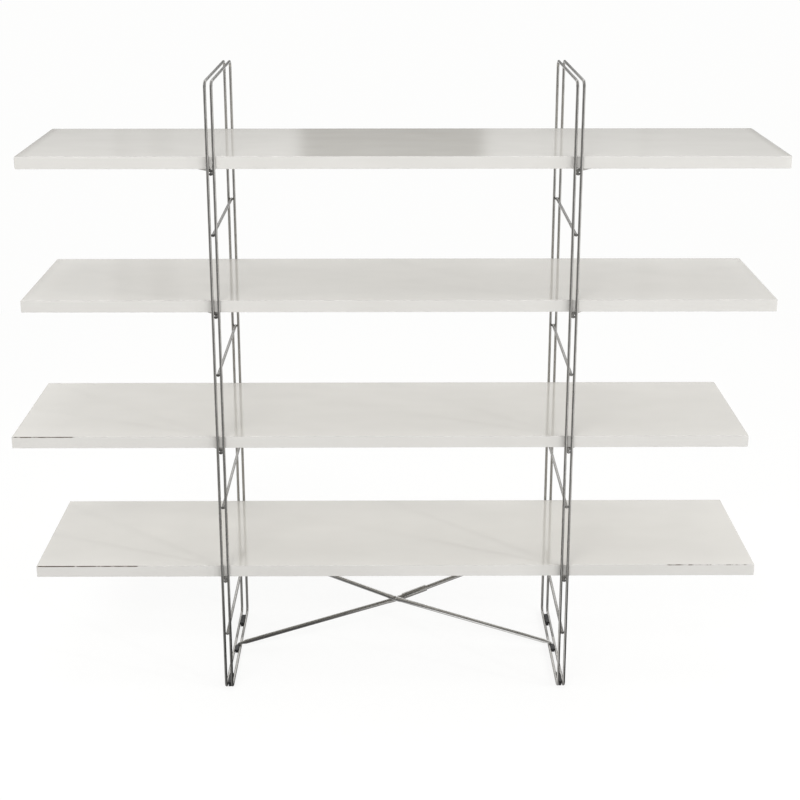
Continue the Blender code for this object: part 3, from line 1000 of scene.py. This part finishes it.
def low_room(tree, rightward, backward):
    """What polished metal sees low down in the room: dark in front, lighter right and behind."""
    front = ramp(
        tree,
        half_scale(tree, rightward),
        ((0.0, 0.36), (0.18, 0.32), (0.28, 0.10), (0.56, 0.10), (0.68, 0.45), (0.85, 0.75), (1.0, 0.95)),
    )
    behind = ramp(tree, half_scale(tree, backward), ((0.50, 0.0), (0.58, 1.0)))
    return mix_color(tree, behind, front, (0.62, 0.62, 0.62))


def high_room(tree, rightward, backward, upward):
    """What it sees higher up: paler walls to the right and behind, and a dim ceiling."""
    front = ramp(
        tree,
        half_scale(tree, rightward),
        ((0.0, 0.34), (0.20, 0.26), (0.32, 0.14), (0.60, 0.08), (0.67, 0.45), (0.85, 0.50)),
    )
    behind = ramp(tree, half_scale(tree, backward), ((0.46, 0.0), (0.60, 1.0)))
    rear_wall = ramp(tree, upward, ((0.33, 0.78), (0.43, 1.0)))
    walls = mix_color(tree, behind, front, rear_wall)
    ceiling = ramp(tree, upward, ((0.62, 0.0), (0.85, 1.0)))
    return mix_color(tree, ceiling, walls, (0.30, 0.30, 0.30))


def make_world():
    """The room that the unit reflects, with a dim doorway behind it, and a plain backdrop."""
    world = bpy.data.worlds.new("studio_room")
    world.use_nodes = True
    bpy.context.scene.world = world
    tree = world.node_tree
    background = tree.nodes["Background"]
    background.inputs["Strength"].default_value = ROOM_GAIN
    direction = add_node(tree, "ShaderNodeTexCoord").outputs["Generated"]
    split = add_node(tree, "ShaderNodeSeparateXYZ")
    tree.links.new(direction, split.inputs[0])
    right, back, up = (split.outputs[axis] for axis in "XYZ")
    skirting = ramp(tree, half_scale(tree, back), ((0.50, 0.0), (0.58, 1.0)))
    low = mix_color(tree, skirting, low_room(tree, right, back), (0.14, 0.14, 0.14))
    height = ramp(tree, up, ((0.12, 0.0), (0.175, 0.38), (0.25, 0.80), (0.36, 1.0)))
    room = mix_color(tree, height, low, high_room(tree, right, back, up))
    sideways = math_node(tree, "ABSOLUTE", right, 0.0)
    narrow = ramp(tree, sideways, ((0.058, 1.0), (0.068, 0.0)))
    under = ramp(tree, up, ((0.215, 1.0), (0.245, 0.0)))
    behind = ramp(tree, back, ((0.4, 0.0), (0.5, 1.0)))
    opening = math_node(tree, "MULTIPLY", narrow, under)
    doorway = math_node(tree, "MULTIPLY", opening, behind)
    room = mix_color(tree, doorway, room, (0.06, 0.06, 0.06))
    uprights = ramp(tree, half_scale(tree, right, gain=2.0), UPRIGHTS)
    beside = math_node(tree, "MULTIPLY", behind, ramp(tree, up, ((0.29, 1.0), (0.33, 0.0))))
    room = mix_color(tree, beside, room, mix_color(tree, 1.0, room, uprights, "MULTIPLY"))
    rays = add_node(tree, "ShaderNodeLightPath")
    backdrop = BACKDROP / ROOM_GAIN
    seen = mix_color(tree, rays.outputs["Is Camera Ray"], room, (backdrop, backdrop, backdrop * 0.995))
    tree.links.new(seen, background.inputs["Color"])


def add_softbox(name, place, target, size, power):
    """A rectangular lamp that faces a target and stays out of reflections."""
    light = bpy.data.lights.new(name, "AREA")
    light.shape = "RECTANGLE"
    light.size, light.size_y = size
    light.energy = power
    lamp = bpy.data.objects.new(name, light)
    bpy.context.scene.collection.objects.link(lamp)
    lamp.location = place
    lamp.rotation_mode = "QUATERNION"
    lamp.rotation_quaternion = (Vector(target) - Vector(place)).to_track_quat("-Z", "Y")
    lamp.visible_glossy = False


def make_lights():
    """Windows to the right, and soft light from the front and above."""
    add_softbox("low_window", (8.0, -1.6, 0.8), (0.0, -0.17, 0.75), (1.00, 1.20), 130.0)
    add_softbox("right_window", (8.1, -3.6, 3.6), (0.0, 0.0, 0.6), (0.20, 1.90), 185.0)
    add_softbox("corner_window", (6.9, -6.0, 4.0), (0.0, 0.0, 0.6), (0.20, 1.90), 190.0)
    add_softbox("front_softbox", (-1.5, -3.8, 3.5), (-0.1, 0.0, 0.75), (2.2, 1.5), 112.0)
    add_softbox("top_softbox", (0.0, 0.1, 4.2), (0.0, 0.0, 0.6), (3.0, 2.2), 39.0)


def make_camera():
    camera = bpy.data.cameras.new("camera")
    camera.sensor_width = SENSOR_WIDTH
    camera.lens = FOCAL_SHARE * SENSOR_WIDTH
    camera.shift_y = CAMERA_SHIFT_Y
    camera.clip_end = 200.0
    viewer = bpy.data.objects.new("camera", camera)
    bpy.context.scene.collection.objects.link(viewer)
    viewer.location = CAMERA_PLACE
    viewer.rotation_euler = (math.radians(90) - CAMERA_PITCH, 0.0, -CAMERA_YAW)
    bpy.context.scene.camera = viewer


# ---------------------------------------------------------------- the whole scene


materials = make_materials()
make_boards(materials)
for side in SIDES:
    make_frame(side, materials)
make_brace(materials)
make_floor()
make_world()
make_lights()
make_camera()
bpy.context.scene.view_settings.view_transform = "Standard"
